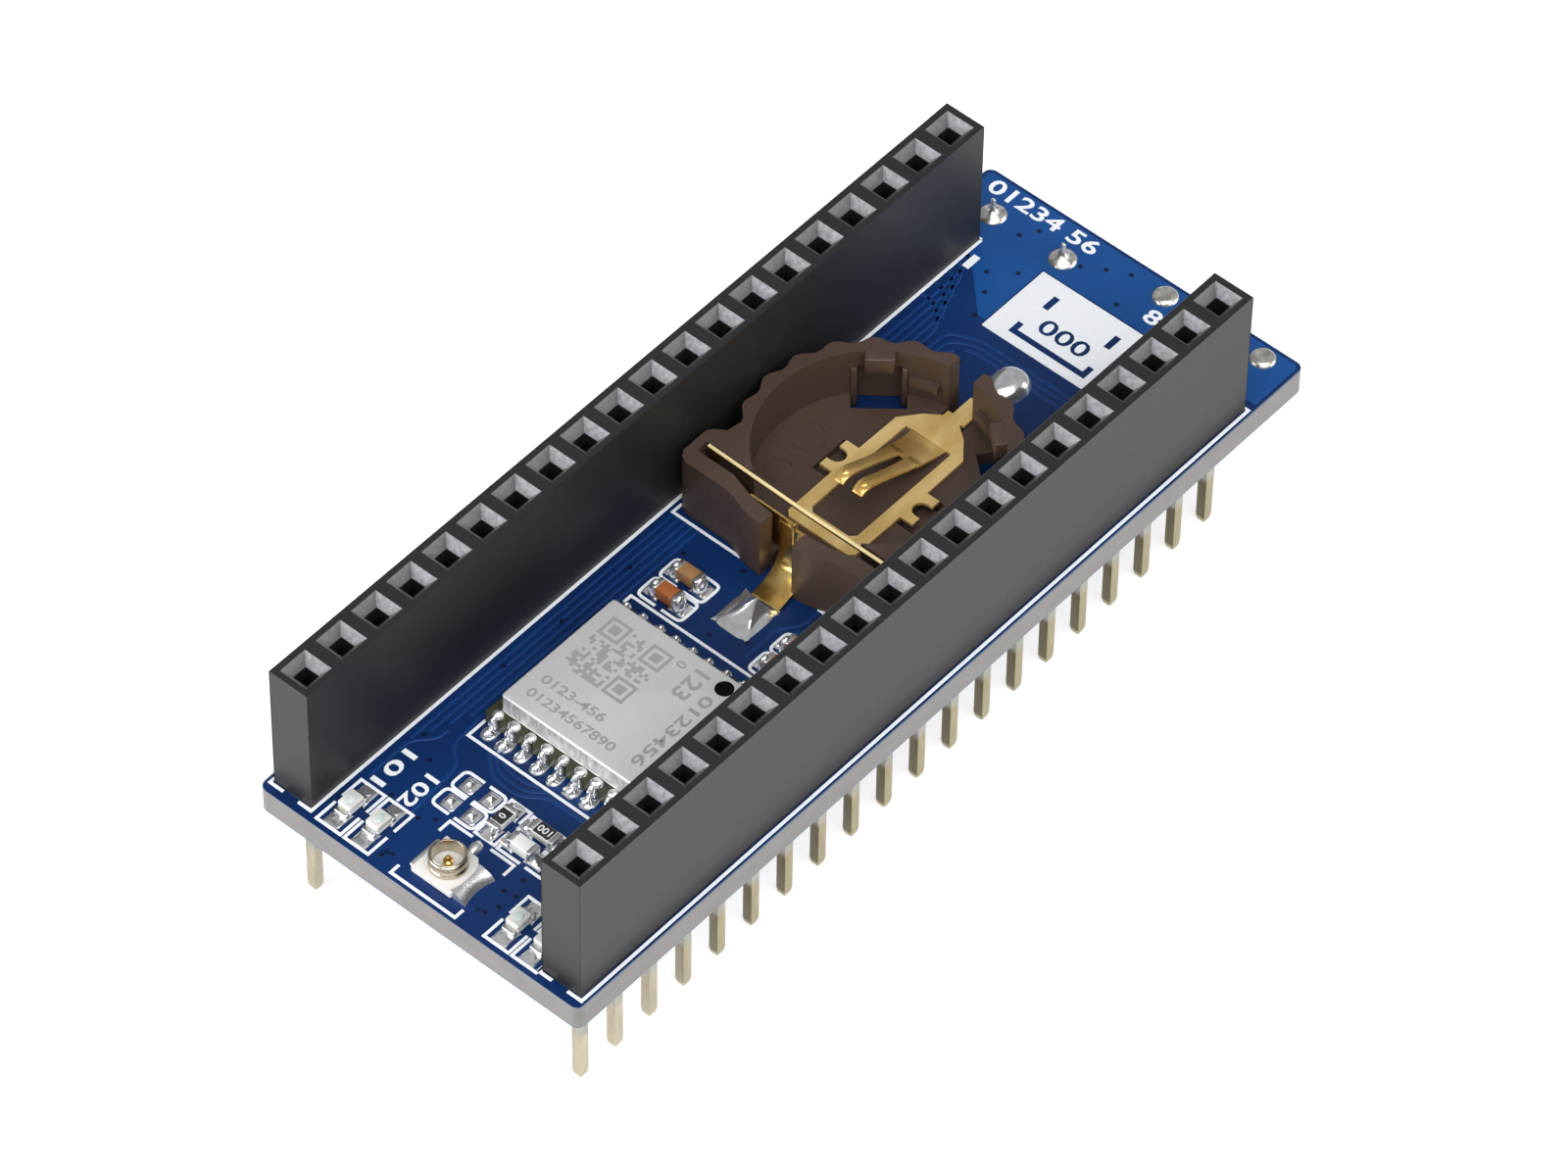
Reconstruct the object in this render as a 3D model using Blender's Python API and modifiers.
"""Receiver add-on board for a small microcontroller board.

A blue circuit board stands on the tails of two 20-way stacking headers. It carries a radio
receiver module under a metal can, a micro coax aerial socket, an empty coin-cell holder with
its sprung contacts, and two push buttons under its connector end.

Lengths below are in millimetres. Every sub-part is placed from the datum: the point midway
between the two header rows, on the board's top face. +X runs to the connector end, +Y to
header A, +Z up. World Z = 0 is the plane that the header tails stand on.
"""

import math

import bmesh
import bpy
from mathutils import Matrix, Vector

MM = 0.001
CLEAR = 0.03  # gap between neighbours that touch on the real board

# Circuit board
BOARD_LENGTH = 55.8
BOARD_WIDTH = 21.2
BOARD_THICKNESS = 1.6
BOARD_CORNER = 0.5
HOLE_RADIUS = 0.5

# Stacking headers
PITCH = 2.54
ROW_SPACING = 17.78
SOCKETS = 20
ROWS_FROM_CENTRE = -1.8  # the rows' middle sits nearer the aerial end
HOUSING_WIDTH = 2.5
HOUSING_HEIGHT = 8.5
MOUTH_SIDE = 1.8
NECK_SIDE = 0.9
FUNNEL_DEPTH = 0.55
NECK_BOTTOM = 7.0
CAVITY_WIDTH = 1.7
TAIL_SIDE = 0.64
TAIL_LENGTH = 6.75
TIP_SIDE = 0.3
TIP_LENGTH = 0.7

# Coin-cell holder, round the cell's axis
CELL_X = 8.35
CELL_WELL_RADIUS = 6.5
HOLDER_HEIGHT = 4.0
HOLDER_FLOOR = 0.9
RIB_ROOT_RADIUS = 7.05
RIB_TIP_RADIUS = 7.42
RIB_PITCH = 16.5  # degrees
RIB_FIRST = 9.3  # degrees
SNAP_ANGLE = 40.0  # degrees
LEFT_GAP = 2.1
RIGHT_GAP = 1.6
CONTACT_SHEET = 0.2

# Negative contact
PLATE_X = (3.75, 12.9)
PLATE_WIDTH = 4.5
PLATE_STRIP = 0.75
PLATE_TAIL_WIDTH = 1.0
PLATE_TAIL_Y = -0.25
PLATE_TAIL_SHEET = 0.18
TONGUE_ROOT_X = 12.3
TONGUE_WIDTH = 2.1
TONGUE_TIP = (6.75, 3.05)
PLATE_Z = HOLDER_FLOOR + CLEAR + CONTACT_SHEET / 2

# Positive contact
BLADE_X = 2.67
BLADE_THICKNESS = 0.25
BLADE_LENGTH = 13.0
BLADE_HEIGHT = 0.3
BLADE_END = 0.8
TAB_WIDTH = 1.5
LEAF_LENGTH = 5.0

# Radio module
MODULE_CENTRE = (-10.8, -0.1)
MODULE_SIZE = (9.7, 10.1)
MODULE_BOARD = 0.8
MODULE_PADS = 9
MODULE_PAD_PITCH = 1.1
CAN_CENTRE = (-10.9, -0.12)
CAN_SIZE = (8.35, 9.05)
CAN_TOP = 2.05
CAN_SHEET = 0.2

# Aerial socket
COAX_CENTRE = (-23.8, 0.0)
COAX_BASE_SIDE = 2.6
COAX_RING_RADIUS = 1.0
COAX_TOP = 1.25

# Capacitors beside the module
CAPACITOR_SIZE = (0.8, 1.6, 0.8)
CAPACITORS = {"capacitor_1": (-3.7, 3.47), "capacitor_2": (-2.08, 3.47)}

# Buttons under the board
BUTTON_LENGTH = 6.0
BUTTON_HEIGHT = 3.5
BUTTON_TRAVEL = 0.25
FORCE_CENTRE = (27.2, 5.9)
FORCE_WIDTH = 3.5
FORCE_LEGS = ((27.2, 8.27), (27.2, 3.52))
STANDBY_CENTRE = (27.6, -5.38)
STANDBY_WIDTH = 3.0
STANDBY_LEGS = ((28.7, -2.14), (28.7, -8.62))
LEG_SIZE = (0.3, 0.5)

UNDERSIDE = -BOARD_THICKNESS
TAIL_TIP = UNDERSIDE - TAIL_LENGTH
ALONG_X = (math.pi / 2, 0, 0)  # an outline drawn in X-Z, with its thickness along Y
ALONG_Y = (math.pi / 2, 0, math.pi / 2)  # an outline drawn in Y-Z, with its thickness along X


def clear_scene():
    for obj in list(bpy.data.objects):
        bpy.data.objects.remove(obj, do_unlink=True)


def new_collection(name, hidden=False):
    collection = bpy.data.collections.new(name)
    bpy.context.scene.collection.children.link(collection)
    collection.hide_render = hidden
    return collection


def finish(name, colour, roughness, metallic=0.0):
    material = bpy.data.materials.new(name)
    material.use_nodes = True
    shader = material.node_tree.nodes["Principled BSDF"]
    shader.inputs["Base Color"].default_value = (*colour, 1.0)
    shader.inputs["Roughness"].default_value = roughness
    shader.inputs["Metallic"].default_value = metallic
    return material


def add_object(name, data, material=None, location=(0, 0, 0), rotation=(0, 0, 0)):
    """A part from its data, placed in millimetres from the datum. Without a material it is a cutter."""
    obj = bpy.data.objects.new(name, data)
    obj.location = Vector(location) * MM
    obj.rotation_euler = rotation
    obj.parent = DATUM
    if material:
        data.materials.clear()
        data.materials.append(material)
        PARTS.objects.link(obj)
    else:
        obj.hide_render = True
        obj.display_type = "WIRE"
        CUTTERS.objects.link(obj)
    return obj


def mesh_from(bm, name):
    mesh = bpy.data.meshes.new(name)
    bm.to_mesh(mesh)
    bm.free()
    return mesh


def add_cuboid(bm, low, high):
    low = Vector(low) * MM
    high = Vector(high) * MM
    matrix = Matrix.Translation((low + high) / 2) @ Matrix.Diagonal((*(high - low), 1.0))
    bmesh.ops.create_cube(bm, size=1.0, matrix=matrix)


def boxes(name, corners, material=None, location=(0, 0, 0), rotation=(0, 0, 0)):
    """One object of several boxes, each given by its low and high corners."""
    bm = bmesh.new()
    for low, high in corners:
        add_cuboid(bm, low, high)
    return add_object(name, mesh_from(bm, name), material, location, rotation)


def cylinder(name, radius, z_low, z_high, centre, material=None, segments=48):
    bm = bmesh.new()
    middle = Matrix.Translation((0, 0, (z_low + z_high) / 2 * MM))
    bmesh.ops.create_cone(
        bm,
        cap_ends=True,
        segments=segments,
        radius1=radius * MM,
        radius2=radius * MM,
        depth=(z_high - z_low) * MM,
        matrix=middle,
    )
    return add_object(name, mesh_from(bm, name), material, (*centre, 0))


def arc(centre, radius, start, end, steps):
    """Points on a circle from start to end, in degrees."""
    turns = [math.radians(start + (end - start) * i / steps) for i in range(steps + 1)]
    return [(centre[0] + radius * math.cos(t), centre[1] + radius * math.sin(t)) for t in turns]


def flat_curve(name, loops, thickness):
    """A filled 2D curve: the first loop is the outline, and each one inside it is a hole."""
    curve = bpy.data.curves.new(name, "CURVE")
    curve.dimensions = "2D"
    curve.fill_mode = "BOTH"
    curve.extrude = thickness / 2 * MM
    for loop in loops:
        spline = curve.splines.new("POLY")
        spline.points.add(len(loop) - 1)
        spline.use_cyclic_u = True
        for point, (x, y) in zip(spline.points, loop):
            point.co = (x * MM, y * MM, 0, 1)
    return curve


def flat_solid(name, loops, z_low, z_high, material=None):
    """A flat outline in X-Y between two heights."""
    curve = flat_curve(name, loops, z_high - z_low)
    return add_object(name, curve, material, (0, 0, (z_low + z_high) / 2))


def as_mesh(obj, material=None):
    """The object that replaces a curve, so that it can be cut, joined or used as a cutter.

    The fill's triangles are merged into flat faces, which leaves no sliver for a Boolean to drop.
    """
    bpy.context.view_layer.update()
    graph = bpy.context.evaluated_depsgraph_get()
    mesh = bpy.data.meshes.new_from_object(obj.evaluated_get(graph))
    bm = bmesh.new()
    bm.from_mesh(mesh)
    bmesh.ops.remove_doubles(bm, verts=bm.verts, dist=CLEAR * MM / 10)
    bmesh.ops.dissolve_limit(bm, angle_limit=math.radians(0.1), verts=bm.verts, edges=bm.edges)
    bm.to_mesh(mesh)
    bm.free()
    name = obj.name
    location = obj.location / MM
    rotation = obj.rotation_euler.copy()
    bpy.data.objects.remove(obj, do_unlink=True)
    return add_object(name, mesh, material, location, rotation)


def boolean(obj, other, operation="DIFFERENCE"):
    modifier = obj.modifiers.new(other.name, "BOOLEAN")
    modifier.operation = operation
    modifier.object = other


def strip_outline(points, thickness):
    """The outline of bent sheet metal that follows points, with its bends mitred."""
    points = [Vector(point) for point in points]
    sides = []
    for before, here, after in zip(
        [points[0], *points[:-1]], points, [*points[1:], points[-1]]
    ):
        incoming = (here - before).normalized() if here != before else (after - here).normalized()
        outgoing = (after - here).normalized() if after != here else incoming
        mitre = (incoming + outgoing).normalized()
        normal = Vector((-mitre.y, mitre.x)) * thickness / 2 / mitre.dot(incoming)
        sides.append((tuple(here + normal), tuple(here - normal)))
    return [left for left, right in sides] + [right for left, right in reversed(sides)]


def socket_x(index):
    return (index - (SOCKETS - 1) / 2) * PITCH


def make_circuit_board():
    low_x = -ROWS_FROM_CENTRE - BOARD_LENGTH / 2
    high_x = low_x + BOARD_LENGTH
    half = BOARD_WIDTH / 2
    inset = BOARD_CORNER
    outline = []
    for x, y, start in (
        (high_x - inset, half - inset, 0),
        (low_x + inset, half - inset, 90),
        (low_x + inset, inset - half, 180),
        (high_x - inset, inset - half, 270),
    ):
        outline += arc((x, y), BOARD_CORNER, start, start + 90, 4)
    places = [(socket_x(i), side * ROW_SPACING / 2) for side in (1, -1) for i in range(SOCKETS)]
    places += [*FORCE_LEGS, *STANDBY_LEGS]
    holes = [arc(place, HOLE_RADIUS, 0, 330, 11) for place in places]
    mask = finish("blue_solder_mask", (0.01, 0.045, 0.17), 0.35)
    flat_solid("circuit_board", [outline, *holes], UNDERSIDE, 0, mask)


def make_housing(name, row_y, material):
    """A socket strip: each socket is a funnel, a square neck and a cavity open underneath."""
    end = SOCKETS * PITCH / 2
    half = HOUSING_WIDTH / 2
    housing = boxes(
        name, [((-end, -half, CLEAR), (end, half, HOUSING_HEIGHT))], material, (0, row_y, 0)
    )
    over = 0.1
    funnel_bottom = HOUSING_HEIGHT - FUNNEL_DEPTH
    cavities = []
    necks = []
    funnels = bmesh.new()
    slope = (MOUTH_SIDE - NECK_SIDE) / 2 / FUNNEL_DEPTH
    corner = math.sqrt(2)
    for x in map(socket_x, range(SOCKETS)):
        side = NECK_SIDE / 2
        cavities.append(((x - side, -CAVITY_WIDTH / 2, -over), (x + side, CAVITY_WIDTH / 2, NECK_BOTTOM)))
        necks.append(((x - side, -side, NECK_BOTTOM - over), (x + side, side, funnel_bottom + over)))
        middle = Vector((x, 0, funnel_bottom + (FUNNEL_DEPTH + over) / 2)) * MM
        bmesh.ops.create_cone(
            funnels,
            cap_ends=True,
            segments=4,
            radius1=side * corner * MM,
            radius2=(MOUTH_SIDE / 2 + slope * over) * corner * MM,
            depth=(FUNNEL_DEPTH + over) * MM,
            matrix=Matrix.Translation(middle) @ Matrix.Rotation(math.pi / 4, 4, "Z"),
        )
    where = (0, row_y, 0)
    boolean(housing, boxes(name + "_cavities", cavities, None, where))
    boolean(housing, boxes(name + "_necks", necks, None, where))
    cutter = add_object(name + "_funnels", mesh_from(funnels, name + "_funnels"), None, where)
    boolean(housing, cutter)


def contact_outline():
    """A stamped socket contact in Y-Z: a straight tail, a shoulder, and two prongs that pinch a pin."""
    tail = TAIL_SIDE / 2
    right = [
        (TIP_SIDE / 2, TAIL_TIP),
        (tail, TAIL_TIP + TIP_LENGTH),
        (tail, 0.3),
        (0.72, 0.45),
        (0.72, 2.0),
        (0.62, 6.3),
        (0.42, 6.7),
        (0.3, 6.7),
        (0.2, 6.0),
        (0.38, 2.4),
    ]
    return [*right, (0, 1.8), *[(-y, z) for y, z in reversed(right)]]


def make_headers():
    black = finish("black_header_plastic", (0.02, 0.02, 0.022), 0.5)
    gold = finish("tail_metal", (0.72, 0.62, 0.38), 0.3, 1.0)
    contact = flat_curve("contact", [contact_outline()], TAIL_SIDE)
    for row, side in (("a", 1), ("b", -1)):
        row_y = side * ROW_SPACING / 2
        make_housing(f"header_{row}_housing", row_y, black)
        for index in range(SOCKETS):
            name = f"header_{row}_contact_{index + 1:02d}"
            add_object(name, contact, gold, (socket_x(index), row_y, 0), ALONG_Y)


def rib_radius(angle):
    """A raised cosine round the holder's wall, in degrees."""
    wave = (1 + math.cos(math.tau * (angle - RIB_FIRST) / RIB_PITCH)) / 2
    return RIB_ROOT_RADIUS + (RIB_TIP_RADIUS - RIB_ROOT_RADIUS) * wave


def holder_outline():
    """The upper half from the connector side round to the contact side, then its mirror image."""
    upper = []
    steps_per_rib = 6
    last_angle = 118.0
    count = int(last_angle / RIB_PITCH * steps_per_rib)
    for i in range(1, count + 1):
        angle = i * last_angle / count
        radius = rib_radius(angle)
        turn = math.radians(angle)
        upper.append((CELL_X + radius * math.cos(turn), radius * math.sin(turn)))
    upper += [(4.1, 6.4), (3.75, 6.95), (3.4, 7.2), (1.7, 7.2), (1.35, 7.0), (1.1, 6.5)]
    upper += [(1.12, 4.0), (1.0, 3.3), (0.65, 2.3), (0.5, 1.2)]
    return upper + [(x, -y) for x, y in reversed(upper)]


def slot_outline():
    """The blade's slot, which widens towards the gap so that the blade can bow outwards."""
    side = [(2.9, 6.7), (2.1, 6.7), (2.1, 4.2), (1.6, 2.6), (1.42, 1.0)]
    return side + [(x, -y) for x, y in reversed(side)]


def make_snap(holder, side):
    """A window through floor and wall, with a ramped tab over it that keeps the cell down."""
    turn = (0, 0, math.radians(side * SNAP_ANGLE))
    window = boxes(
        f"snap_window_{side}", [((5.3, -1.45, -0.1), (6.95, 1.45, 2.9))], None, (CELL_X, 0, 0), turn
    )
    boolean(holder, window)
    ramp = [(6.85, 3.0), (6.85, 3.98), (6.45, 3.98), (5.85, 3.45), (5.85, 3.1)]
    tab_width = 1.5
    tab = add_object(
        f"snap_tab_{side}",
        flat_curve(f"snap_tab_{side}", [ramp], tab_width),
        None,
        (CELL_X, 0, 0),
        (math.pi / 2, 0, turn[2]),
    )
    boolean(holder, as_mesh(tab), "UNION")


def make_battery_holder():
    brown = finish("brown_holder_plastic", (0.105, 0.062, 0.045), 0.55)
    outline = [holder_outline()]
    holder = as_mesh(flat_solid("battery_holder", outline, CLEAR, HOLDER_HEIGHT), brown)
    above = HOLDER_HEIGHT + 1
    well = cylinder("cell_well", CELL_WELL_RADIUS, HOLDER_FLOOR, above, (CELL_X, 0), None, 64)
    boolean(holder, well)
    boolean(holder, as_mesh(flat_solid("blade_slot", [slot_outline()], HOLDER_FLOOR, above)))
    gaps = [
        ((-0.5, -LEFT_GAP / 2, -0.1), (2.05, LEFT_GAP / 2, above)),
        ((13.9, -RIGHT_GAP / 2, -0.1), (16.5, RIGHT_GAP / 2, above)),
        ((7.15, 2.3, -0.1), (9.65, 3.35, 1)),
        ((7.15, -3.35, -0.1), (9.65, -2.3, 1)),
    ]
    boolean(holder, boxes("holder_gaps", gaps))
    for side in (1, -1):
        make_snap(holder, side)


def plate_outline():
    """Half of the negative plate's edge: straight side, two ears round a notch, taper, neck."""
    half = PLATE_WIDTH / 2
    ear = half + 0.85
    notch_radius = 0.5
    notch = (8.5, half + notch_radius + 0.05)
    shoulder = half + 0.03
    side = [(PLATE_X[0] + 0.3, half), (7.45, shoulder), (7.45, ear), (8.0, ear)]
    side += arc(notch, notch_radius, 180, 360, 6)
    side += [(9.0, ear), (9.55, ear), (9.55, shoulder), (PLATE_X[1] - 0.5, half)]
    side += [(13.5, 1.35), (14.1, 0.55), (14.5, 0.55)]
    corner = [(PLATE_X[0], half - 0.3)]
    return corner + side + [(x, -y) for x, y in reversed(side)] + [(corner[0][0], -corner[0][1])]


def make_negative_contact():
    gold = finish("contact_gold", (0.75, 0.55, 0.25), 0.25, 1.0)
    inner = PLATE_WIDTH / 2 - PLATE_STRIP
    x_low = PLATE_X[0] + 1.0
    x_high = TONGUE_ROOT_X + 0.05
    window = [(x_high, inner), (x_low + 0.3, inner), (x_low, inner - 0.3)]
    window += [(x, -y) for x, y in reversed(window)]
    z_low = PLATE_Z - CONTACT_SHEET / 2
    z_high = PLATE_Z + CONTACT_SHEET / 2
    plate = as_mesh(flat_solid("negative_plate", [plate_outline(), window], z_low, z_high), gold)
    tail_z = CLEAR + PLATE_TAIL_SHEET / 2
    route = [(14.2, PLATE_Z), (15.9, PLATE_Z), (16.8, tail_z), (18.9, tail_z)]
    tail = add_object(
        "negative_tail",
        flat_curve("negative_tail", [strip_outline(route, PLATE_TAIL_SHEET)], PLATE_TAIL_WIDTH),
        None,
        (0, PLATE_TAIL_Y, 0),
        ALONG_X,
    )
    boolean(plate, as_mesh(tail), "UNION")


def make_negative_tongue():
    """The sprung tongue, split into two fingers. Its origin is on the line where it bends."""
    gold = finish("tongue_gold", (0.78, 0.58, 0.28), 0.22, 1.0)
    root = Vector((TONGUE_ROOT_X, PLATE_Z))
    route = [root, (11.6, PLATE_Z + 0.08), (10.4, 1.5), TONGUE_TIP, (6.4, 2.98), (6.15, 2.75)]
    outline = strip_outline([Vector(p) - root for p in route], CONTACT_SHEET)
    where = (TONGUE_ROOT_X, 0, PLATE_Z)
    tongue = add_object(
        "negative_tongue", flat_curve("negative_tongue", [outline], TONGUE_WIDTH), gold, where, ALONG_X
    )
    tongue = as_mesh(tongue, gold)
    slit = boxes("tongue_slit", [((-8, -0.22, -1), (-2.15, 0.22, 3))], None, where)
    boolean(tongue, slit)


def make_positive_contact():
    gold = finish("blade_gold", (0.8, 0.62, 0.32), 0.22, 1.0)
    z_low = HOLDER_FLOOR + 0.1
    z_high = HOLDER_HEIGHT - CLEAR
    z_arm = z_high - BLADE_HEIGHT
    end = BLADE_LENGTH / 2
    neck = end - BLADE_END
    outline = [(end, z_low), (end, z_high), (-end, z_high), (-end, z_low)]
    outline += [(-neck, z_low), (-neck, z_arm), (neck, z_arm), (neck, z_low)]
    blade = flat_curve("positive_blade", [outline], BLADE_THICKNESS)
    add_object("positive_blade", blade, gold, (BLADE_X, 0, 0), ALONG_Y)
    foot_z = CLEAR + CONTACT_SHEET / 2
    route = [(1.77, 3.4), (1.7, 1.6), (1.3, 0.85), (0.7, 0.45), (-0.3, foot_z + 0.1), (-1.3, foot_z)]
    tab = add_object(
        "positive_tab",
        flat_curve("positive_tab", [strip_outline(route, CONTACT_SHEET)], TAB_WIDTH),
        gold,
        (0, 0, 0),
        ALONG_X,
    )
    tab = as_mesh(tab, finish("tab_gold", (0.75, 0.52, 0.2), 0.28, 1.0))
    leaf = ((1.72, -LEAF_LENGTH / 2, 1.3), (1.86, LEAF_LENGTH / 2, 3.3))
    boolean(tab, boxes("positive_leaf", [leaf]), "UNION")


def make_module():
    """A small green board with half-round solder notches on two sides, a can and a chip inside it."""
    green = finish("module_green", (0.05, 0.11, 0.03), 0.45)
    steel = finish("can_steel", (0.62, 0.62, 0.61), 0.45, 0.6)
    resin = finish("chip_resin", (0.02, 0.02, 0.02), 0.6)
    x, y = MODULE_CENTRE
    half_x = MODULE_SIZE[0] / 2
    half_y = MODULE_SIZE[1] / 2
    notch_radius = 0.27
    outline = []
    for side, start in ((1, 270), (-1, 90)):
        outline.append((x + side * half_x, y - side * half_y))
        for pad in range(MODULE_PADS):
            along = (pad - (MODULE_PADS - 1) / 2) * MODULE_PAD_PITCH * side
            centre = (x + side * half_x, y + along)
            outline += arc(centre, notch_radius, start, start - 180, 4)
        outline.append((x + side * half_x, y + side * half_y))
    top = CLEAR + MODULE_BOARD
    flat_solid("module_board", [outline], CLEAR, top, green)
    half = Vector((CAN_SIZE[0] / 2, CAN_SIZE[1] / 2, 0))
    inner = half - Vector((CAN_SHEET, CAN_SHEET, 0))
    up = Vector((0, 0, 1))
    where = (*CAN_CENTRE, 0)
    can = boxes("shield_can", [(up * (top + CLEAR) - half, up * CAN_TOP + half)], steel, where)
    inside = boxes("can_inside", [(-inner, up * (CAN_TOP - CAN_SHEET) + inner)], None, where)
    boolean(can, inside)
    chip = 2.5
    boxes("receiver_chip", [((x - chip, y - chip, top + CLEAR), (x + chip, y + chip, top + 0.7))], resin)


def make_coax_socket():
    """A micro coax socket: a white base, a round outer shell and a centre pin."""
    white = finish("socket_white", (0.72, 0.71, 0.68), 0.5)
    gold = finish("socket_gold", (0.78, 0.6, 0.3), 0.25, 1.0)
    x, y = COAX_CENTRE
    half = COAX_BASE_SIDE / 2
    cut = 0.5
    base = [(x + half, y + half), (x - half, y + half), (x - half, y - half), (x + half - cut, y - half)]
    base.append((x + half, y - half + cut))
    base_top = 0.4
    flat_solid("coax_base", [base], CLEAR, base_top, white)
    shell = bpy.data.meshes.new("coax_shell")
    groove = COAX_RING_RADIUS - 0.08
    bore = COAX_RING_RADIUS - 0.17
    bottom = base_top + CLEAR
    profile = [(bore, COAX_TOP), (groove, COAX_TOP), (COAX_RING_RADIUS, 1.15), (COAX_RING_RADIUS, 0.95)]
    profile += [(groove, 0.85), (groove, 0.65), (COAX_RING_RADIUS, 0.55), (COAX_RING_RADIUS, bottom)]
    profile += [(bore, bottom)]
    verts = [(r * MM, 0, z * MM) for r, z in profile]
    edges = [(i, (i + 1) % len(verts)) for i in range(len(verts))]
    shell.from_pydata(verts, edges, [])
    ring = add_object("coax_shell", shell, gold, (x, y, 0))
    screw = ring.modifiers.new("turn", "SCREW")
    screw.steps = 24
    screw.render_steps = 24
    screw.use_merge_vertices = True
    screw.merge_threshold = 1e-6
    cylinder("coax_pin", 0.25, bottom, COAX_TOP - 0.2, (x, y), gold, 12)


def make_capacitors():
    tan = finish("capacitor_ceramic", (0.35, 0.16, 0.06), 0.5)
    width, length, height = CAPACITOR_SIZE
    for name, (x, y) in CAPACITORS.items():
        low = (-width / 2, -length / 2, 0)
        high = (width / 2, length / 2, height)
        boxes(name, [(low, high)], tan, (x, y, CLEAR))


def button_legs(legs, centre, top):
    """Boxes from inside the body up through the board, in the body's own frame."""
    found = []
    for x, y in legs:
        across = x - centre[0]
        along = y - centre[1]
        low = (across - LEG_SIZE[0] / 2, along - LEG_SIZE[1] / 2, -1.5)
        high = (across + LEG_SIZE[0] / 2, along + LEG_SIZE[1] / 2, BOARD_THICKNESS + CLEAR + top)
        found.append((low, high))
    return found


def make_button(name, centre, width, legs, leg_top, bore):
    """A button's body hangs under the board. Its bore is cut for the plunger."""
    black = finish(name + "_plastic", (0.02, 0.02, 0.02), 0.5)
    half = (width / 2, BUTTON_LENGTH / 2)
    where = (*centre, UNDERSIDE - CLEAR)
    low = (-half[0], -half[1], -BUTTON_HEIGHT)
    body = boxes(name + "_body", [(low, (*half, 0))], black, where)
    boolean(body, boxes(name + "_legs", button_legs(legs, centre, leg_top), None, where), "UNION")
    boolean(body, bore)


def make_buttons():
    white = finish("plunger_plastic", (0.55, 0.55, 0.53), 0.4)
    face = UNDERSIDE - CLEAR - BUTTON_HEIGHT
    depth = 1.2
    play = 0.05
    radius = 1.0
    bore = cylinder("force_bore", radius + play, face - 1, face + depth, FORCE_CENTRE, None, 24)
    make_button("force_button", FORCE_CENTRE, FORCE_WIDTH, FORCE_LEGS, 1.2, bore)
    top = face + depth - BUTTON_TRAVEL - play
    cylinder("force_button_plunger", radius, face - 0.9, top, FORCE_CENTRE, white, 24)

    x, y = STANDBY_CENTRE
    end = x + STANDBY_WIDTH / 2
    middle = face + BUTTON_HEIGHT / 2
    half_y = 1.2
    half_z = 0.6
    low = (end - depth, y - half_y - play, middle - half_z - play)
    high = (end + 1, y + half_y + play, middle + half_z + play)
    bore = boxes("standby_bore", [(low, high)])
    make_button("standby_button", STANDBY_CENTRE, STANDBY_WIDTH, STANDBY_LEGS, 0.2, bore)
    inner = end - depth + BUTTON_TRAVEL + play
    outer = -ROWS_FROM_CENTRE + BOARD_LENGTH / 2
    plunger = ((inner - outer, -half_y, -half_z), (0, half_y, half_z))
    boxes("standby_button_plunger", [plunger], white, (outer, y, middle))


clear_scene()
PARTS = new_collection("receiver_board")
CUTTERS = new_collection("cutters", hidden=True)
DATUM = bpy.data.objects.new("board_datum", None)
DATUM.location = Vector((ROWS_FROM_CENTRE, 0, -TAIL_TIP)) * MM
PARTS.objects.link(DATUM)
make_circuit_board()
make_headers()
make_battery_holder()
make_negative_contact()
make_negative_tongue()
make_positive_contact()
make_module()
make_coax_socket()
make_capacitors()
make_buttons()
